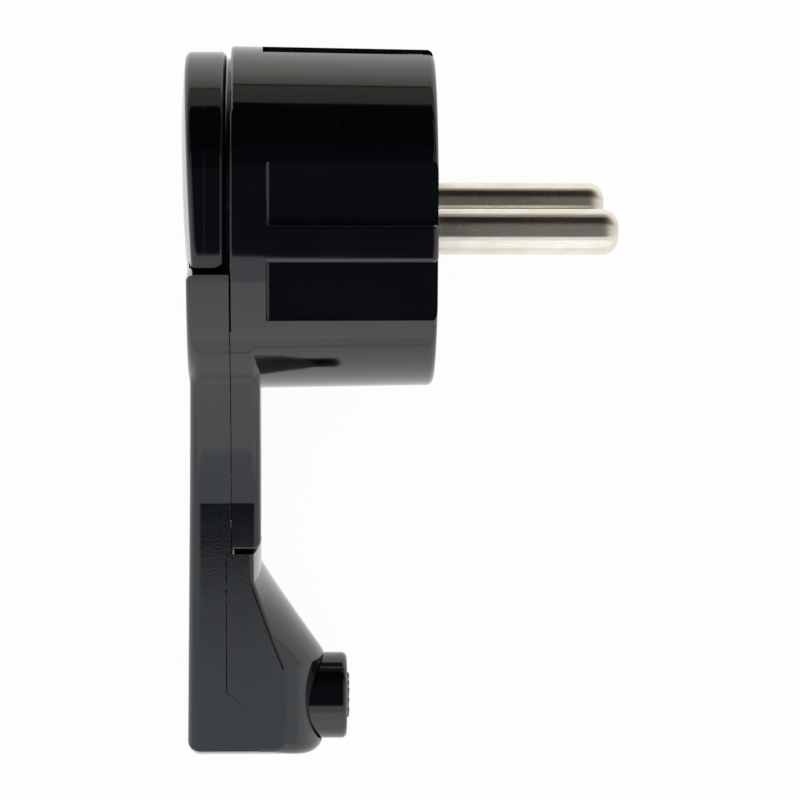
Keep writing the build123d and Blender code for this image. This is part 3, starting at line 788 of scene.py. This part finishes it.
@dataclass
class Studio:
    """Table, light and camera.

    Attributes:
        laid: How the plug lies.
        target: Point in the middle of the picture, in the plug's own axes, in millimetres.
        distance_mm: Distance from that point to the lens.
        focal_px: Focal length in pixels of the 800 pixel frame.
        pitch_deg: Angle between the plug's side and the lens axis.
        yaw_deg: Small turn of the lens round the picture's upright.
        clip: Nearest and farthest distance that the camera shows, in metres.
        floor_size: Side of the table top in metres.
        floor_colour: Matt colour of the table as sRGB hex, which takes the shadow.
        glow_share: Share of the table's look that is an even white of its own.
        cards: Cards over the table. The wide side cards hang behind the narrow dark ones.
        painted_reflection_pool: Painted reflection: brightness that the table shows only to gloss surfaces,
            across the picture, as places in millimetres and sRGB hex. It is painted brightest under the plug,
            with a thin painted dark band on both sides and a dimmer far table; the lens sees plain white.
        room_colour: Colour of the room's light as sRGB hex.
        room_strength: Strength of the room's light.
        softbox_size: Width and height of the softbox in metres.
        softbox_watts: Power of the softbox.
        softbox_place: Place of the softbox in metres.
    """

    laid: LaidPlug
    target: tuple[float, float, float] = (-3.36, -19.855, 0.0)
    distance_mm: float = 404.0
    focal_px: float = 3748.0
    pitch_deg: float = 11.6
    yaw_deg: float = 1.7
    clip: tuple[float, float] = (0.01, 50.0)
    floor_size: float = 8.0
    floor_colour: str = "f2f2f2"
    glow_share: float = 0.96
    cards: tuple[Card, ...] = (
        Card("overhead_card", -26.5, 32.0, 0.5, "333b45"),
        Card("overhead_edge", 32.0, 45.0, 0.5, "1f242b"),
        Card("overhead_sides", -26.5, 45.0, 1.7, "b3aca0", 1.3),
        Card("wall_card", 45.0, 79.5, 0.75, "0c0c0e"),
        Card("wall_sides", 45.0, 79.5, 2.6, "807a6e", 1.3),
        Card("horizon_card", 79.5, 90.0, 2.5, "9c9892"),
    )
    # Painted reflection: table brightness that only gloss surfaces see, bright under the plug with painted
    # dark bands on both sides
    painted_reflection_pool: tuple[tuple[float, str], ...] = (
        (-300.0, "fafdff"), (-184.0, "fafdff"), (-180.0, "9a9c9e"), (-170.0, "9a9c9e"), (-166.0, "fafdff"),
        (75.0, "fffefa"), (97.0, "fbf9f2"), (148.0, "e2e0d8"), (228.0, "cdcac0"), (238.0, "4a4844"),
        (276.0, "4a4844"), (286.0, "9e978e"), (300.0, "9e978e"),
    )
    room_colour: str = "e7eef4"
    room_strength: float = 0.97
    softbox_size: tuple[float, float] = (3.0, 1.1)
    softbox_watts: float = 3.2
    softbox_place: tuple[float, float, float] = (0.0, -1.1, 0.55)

    def camera(self) -> bpy.types.Object:
        """Place the camera at the photograph's viewing angle.

        Returns:
            The camera object.
        """
        lean = math.radians(self.pitch_deg - self.laid.tilt_deg)
        yaw = math.radians(self.yaw_deg)
        up = Vector((0, math.cos(lean), -math.sin(lean)))
        straight_back = Vector((0, math.sin(lean), math.cos(lean)))
        sideways = Vector((1, 0, 0))
        right = sideways * math.cos(yaw) + straight_back * math.sin(yaw)
        back = straight_back * math.cos(yaw) - sideways * math.sin(yaw)
        data = bpy.data.cameras.new("Camera")
        data.sensor_width = SENSOR_MM
        data.lens = self.focal_px / PICTURE_PX * SENSOR_MM
        data.clip_start, data.clip_end = self.clip
        camera = bpy.data.objects.new("Camera", data)
        bpy.context.scene.collection.objects.link(camera)
        place = self.laid.matrix() @ Vector(self.target) + back * self.distance_mm * MM
        turn = Matrix((right, up, back)).transposed().to_4x4()
        camera.matrix_world = Matrix.Translation(place) @ turn
        bpy.context.scene.camera = camera
        return camera

    def table(self) -> bpy.types.Object:
        """Add the white table top, which shows gloss surfaces a painted reflection.

        Returns:
            The table object.
        """
        bpy.ops.object.select_all(action="DESELECT")
        bpy.ops.mesh.primitive_plane_add(size=self.floor_size, location=(0, 0, 0))
        top = bpy.context.object
        top.name = "table_top"
        material, tree, output = new_tree("White_table_with_painted_reflection")
        path = add_node(tree, "ShaderNodeLightPath")
        seen = add_node(tree, "ShaderNodeMath", {"operation": "MAXIMUM"},
                        {0: path.outputs["Is Camera Ray"], 1: path.outputs["Is Glossy Ray"]})
        shown = add_node(tree, "ShaderNodeMath", {"operation": "MAXIMUM"},
                         {0: seen.outputs[0], 1: path.outputs["Is Transmission Ray"]})
        share = add_node(tree, "ShaderNodeMath", {"operation": "MULTIPLY"},
                         {0: shown.outputs[0], 1: self.glow_share})
        place = add_node(tree, "ShaderNodeTexCoord").outputs["Object"]
        axes = add_node(tree, "ShaderNodeSeparateXYZ", None, {"Vector": place})
        low, high = self.painted_reflection_pool[0][0] * MM, self.painted_reflection_pool[-1][0] * MM
        along = add_node(tree, "ShaderNodeMapRange", None,
                         {"Value": axes.outputs["Y"], "From Min": low, "From Max": high, "To Min": 0.0,
                          "To Max": 1.0})
        # Painted reflection: gloss rays see this painted band of brightness in the table, the lens sees plain
        # white
        painted_reflection_pool = add_node(tree, "ShaderNodeValToRGB", None, {"Fac": along.outputs["Result"]})
        stops = painted_reflection_pool.color_ramp.elements
        stops[0].color = linear(self.painted_reflection_pool[0][1])
        stops[1].color = linear(self.painted_reflection_pool[-1][1])
        for place_mm, colour in self.painted_reflection_pool[1:-1]:
            stops.new((place_mm * MM - low) / (high - low)).color = linear(colour)
        mirrored = add_node(tree, "ShaderNodeMix", {"data_type": "RGBA"},
                            {MIX_SHARE: path.outputs["Is Glossy Ray"], MIX_FIRST: linear("ffffff"),
                             MIX_SECOND: painted_reflection_pool.outputs["Color"]})
        matt = add_node(tree, "ShaderNodeBsdfDiffuse", None, {"Color": linear(self.floor_colour)})
        glow = add_node(tree, "ShaderNodeEmission", None,
                        {"Color": mirrored.outputs[MIX_COLOUR], "Strength": 1.0})
        mixed = add_node(tree, "ShaderNodeMixShader", None,
                         {0: share.outputs[0], 1: matt.outputs[0], 2: glow.outputs[0]})
        tree.links.new(mixed.outputs[0], output.inputs["Surface"])
        top.data.materials.append(material)
        return top

    def card(self, card: Card) -> bpy.types.Object:
        """Hang one card over the table.

        Args:
            card: The card's place and brightness.

        Returns:
            The card object, hidden from the lens.
        """
        bpy.ops.object.select_all(action="DESELECT")
        bpy.ops.mesh.primitive_grid_add(x_subdivisions=1, y_subdivisions=card.steps, size=2.0)
        sheet = bpy.context.object
        sheet.name = card.name
        for vertex in sheet.data.vertices:
            share = (vertex.co.y + 1) / 2
            angle = math.radians(card.start_deg + share * (card.end_deg - card.start_deg))
            arc = Vector((0, math.sin(angle), math.cos(angle)))
            vertex.co = arc * card.radius + Vector((vertex.co.x * card.half_width, 0, 0))
        sheet.visible_camera = False
        sheet.visible_shadow = False
        sheet.visible_diffuse = False
        material, tree, output = new_tree(card.name + "_cloth")
        cloth = add_node(tree, "ShaderNodeEmission", None, {"Color": linear(card.colour), "Strength": 1.0})
        tree.links.new(cloth.outputs[0], output.inputs["Surface"])
        sheet.data.materials.append(material)
        return sheet

    def light(self) -> None:
        """Light the room with a plain, slightly cool white and a weak softbox at the picture's lower side."""
        world = bpy.data.worlds.new("Studio")
        bpy.context.scene.world = world
        world.use_nodes = True
        tree = world.node_tree
        tree.nodes.clear()
        output = add_node(tree, "ShaderNodeOutputWorld")
        glow = add_node(tree, "ShaderNodeBackground", None,
                        {"Color": linear(self.room_colour), "Strength": self.room_strength})
        tree.links.new(glow.outputs[0], output.inputs["Surface"])
        data = bpy.data.lights.new("Side_softbox", "AREA")
        data.shape = "RECTANGLE"
        data.size, data.size_y = self.softbox_size
        data.energy = self.softbox_watts
        softbox = bpy.data.objects.new("Side_softbox", data)
        facing = Matrix.Rotation(math.radians(90), 4, "X")
        softbox.matrix_world = Matrix.Translation(self.softbox_place) @ facing
        bpy.context.scene.collection.objects.link(softbox)

    def build(self) -> None:
        """Set up the whole studio."""
        bpy.context.scene.view_settings.view_transform = "Standard"
        self.camera()
        self.table()
        for card in self.cards:
            self.card(card)
        self.light()


def main() -> None:
    """Dress the plug and set up the studio."""
    logging.basicConfig(level=logging.INFO, format="%(message)s")
    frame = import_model()
    dress = Dress(frame["nodes"])
    dress.apply()
    laid = LaidPlug()
    GripDots(laid).build(dress.finish_of("push_button"))
    HandleMouldLine(laid).build(dress.finish_of("pull_handle"))
    ReturnSpring(laid).build(dress.finish_of("button_spring"))
    ArmRoot(laid).build(dress)
    Studio(laid).build()


if __name__ == "__main__":
    main()
